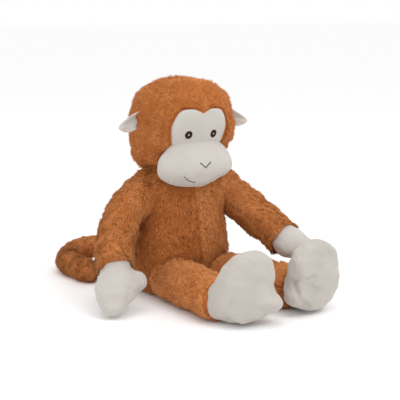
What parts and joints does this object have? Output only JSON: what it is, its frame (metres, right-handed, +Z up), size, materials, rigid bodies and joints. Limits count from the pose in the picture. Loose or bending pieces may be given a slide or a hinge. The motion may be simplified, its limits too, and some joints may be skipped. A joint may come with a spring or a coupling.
{
  "type": "plush monkey",
  "caption": "Large soft brown plush monkey, sitting upright with legs out and a curled tail, with a cream face, muzzle, ears, hands and feet.",
  "frame": {"origin": "on the flat underside of the seat, below the neck, at the surface the monkey sits on", "axes": "+Z up; -Y is the way the monkey faces; +X is the monkey's own left side"},
  "size_m": [0.4023, 0.5647, 0.398],
  "materials": {
    "brown_plush": "medium-pile plush, pile brushed down",
    "cream_velour": "smooth short velour",
    "dark_thread": "satin-stitched thread",
    "seam_tape": "sewn edge of the plush",
    "pouch_cloth": "plain woven lining",
    "pellets": "small plastic beads",
    "fibre_filling": "carded polyester fibre"
  },
  "bodies": {
    "torso": {"torso_panel_right": "brown_plush", "torso_panel_left": "brown_plush", "torso_stuffing": "fibre_filling", "pellet_pouch": "pouch_cloth", "seat_pellets": "pellets"},
    "neck_ring": {"neck_seam": "seam_tape"},
    "head": {"head_skin": "brown_plush", "head_stuffing": "fibre_filling", "muzzle_skin": "cream_velour", "muzzle_stuffing": "fibre_filling", "face_patch": "cream_velour", "eye_right": "dark_thread", "eye_left": "dark_thread", "ear_right": "cream_velour", "ear_left": "cream_velour", "nose_stitch": "dark_thread", "mouth_stitch": "dark_thread"},
    "shoulder_ring_right": {"shoulder_seam_right": "seam_tape"},
    "arm_right": {"arm_sleeve_right": "brown_plush", "arm_stuffing_right": "fibre_filling", "hand_skin_right": "cream_velour", "hand_stuffing_right": "fibre_filling"},
    "shoulder_ring_left": {"shoulder_seam_left": "seam_tape"},
    "arm_left": {"arm_sleeve_left": "brown_plush", "arm_stuffing_left": "fibre_filling", "hand_skin_left": "cream_velour", "hand_stuffing_left": "fibre_filling"},
    "hip_ring_right": {"hip_seam_right": "seam_tape"},
    "leg_right": {"leg_sleeve_right": "brown_plush", "leg_stuffing_right": "fibre_filling", "foot_skin_right": "cream_velour", "foot_stuffing_right": "fibre_filling"},
    "hip_ring_left": {"hip_seam_left": "seam_tape"},
    "leg_left": {"leg_sleeve_left": "brown_plush", "leg_stuffing_left": "fibre_filling", "foot_skin_left": "cream_velour", "foot_stuffing_left": "fibre_filling"},
    "tail_ring": {"tail_seam": "seam_tape"},
    "tail": {"tail_sleeve": "brown_plush", "tail_stuffing": "fibre_filling"}
  },
  "joints": [
    {"name": "neck_turn", "type": "hinge", "parent": "torso", "child": "neck_ring", "pos_m": [0, 0.002, 0.262], "axis": [0, 0, 1], "range_deg": [-25, 25]},
    {"name": "neck_nod", "type": "hinge", "parent": "neck_ring", "child": "head", "pos_m": [0, 0.002, 0.262], "axis": [1, 0, 0], "range_deg": [-12, 5]},
    {"name": "shoulder_swing_right", "type": "hinge", "parent": "torso", "child": "shoulder_ring_right", "pos_m": [-0.086, -0.004, 0.187], "axis": [1, 0, 0], "range_deg": [-75, 0]},
    {"name": "shoulder_lift_right", "type": "hinge", "parent": "shoulder_ring_right", "child": "arm_right", "pos_m": [-0.086, -0.004, 0.187], "axis": [0, 1, 0], "range_deg": [0, 60]},
    {"name": "shoulder_swing_left", "type": "hinge", "parent": "torso", "child": "shoulder_ring_left", "pos_m": [0.086, -0.006, 0.186], "axis": [1, 0, 0], "range_deg": [-60, 0]},
    {"name": "shoulder_lift_left", "type": "hinge", "parent": "shoulder_ring_left", "child": "arm_left", "pos_m": [0.086, -0.006, 0.186], "axis": [0, 1, 0], "range_deg": [-45, 0]},
    {"name": "hip_splay_right", "type": "hinge", "parent": "torso", "child": "hip_ring_right", "pos_m": [-0.044, -0.045, 0.038], "axis": [0, 0, 1], "range_deg": [-20, 0]},
    {"name": "hip_swing_right", "type": "hinge", "parent": "hip_ring_right", "child": "leg_right", "pos_m": [-0.044, -0.045, 0.038], "axis": [1, 0, 0], "range_deg": [0, 70]},
    {"name": "hip_splay_left", "type": "hinge", "parent": "torso", "child": "hip_ring_left", "pos_m": [0.044, -0.045, 0.038], "axis": [0, 0, 1], "range_deg": [0, 20]},
    {"name": "hip_swing_left", "type": "hinge", "parent": "hip_ring_left", "child": "leg_left", "pos_m": [0.044, -0.045, 0.038], "axis": [1, 0, 0], "range_deg": [0, 70]},
    {"name": "tail_sweep", "type": "hinge", "parent": "torso", "child": "tail_ring", "pos_m": [0, 0.082, 0.04], "axis": [0, 0, 1], "range_deg": [-25, 25]},
    {"name": "tail_lift", "type": "hinge", "parent": "tail_ring", "child": "tail", "pos_m": [0, 0.082, 0.04], "axis": [1, 0, 0], "range_deg": [0, 40]}
  ]
}
